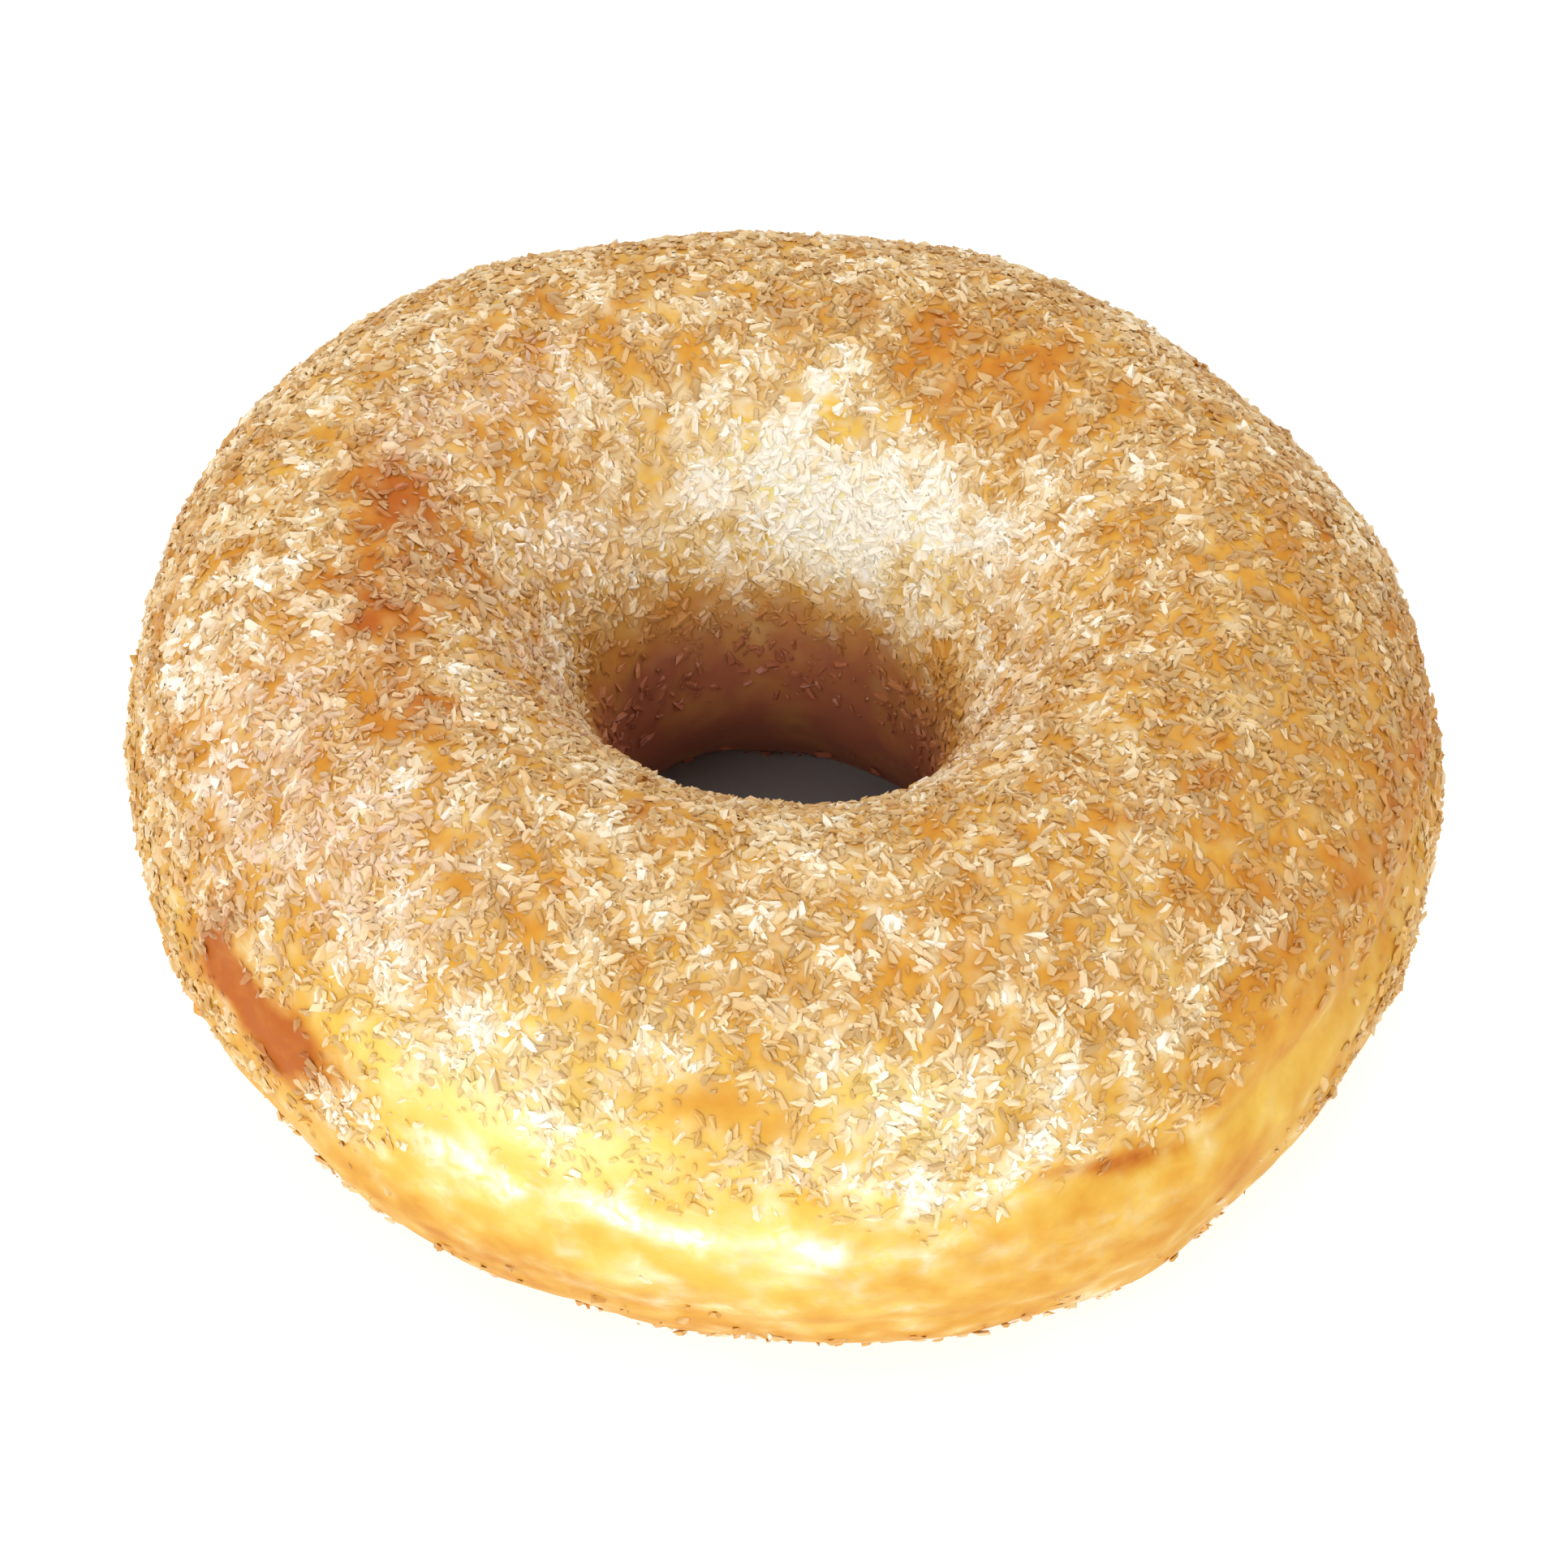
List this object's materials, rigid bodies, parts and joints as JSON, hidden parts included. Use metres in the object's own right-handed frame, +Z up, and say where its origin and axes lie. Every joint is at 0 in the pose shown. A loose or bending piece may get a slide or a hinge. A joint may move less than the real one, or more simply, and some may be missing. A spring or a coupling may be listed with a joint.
{
  "type": "mini sugar doughnut",
  "caption": "Small fried ring doughnut with an uneven round outline, a smooth pale belt and a coat of coarse sugar crystals, lying on its flat underside",
  "frame": {"origin": "on the table, under the middle of the doughnut", "axes": "+Z up through the hole, -Y the front that the picture looks down on, +X to the picture's right"},
  "size_m": [0.0512, 0.0509, 0.0215],
  "materials": {
    "sugared_crust": "golden fried crust rolled in coarse sugar, matt with small glints"
  },
  "bodies": {
    "root": {"doughnut": "sugared_crust"}
  },
  "joints": []
}
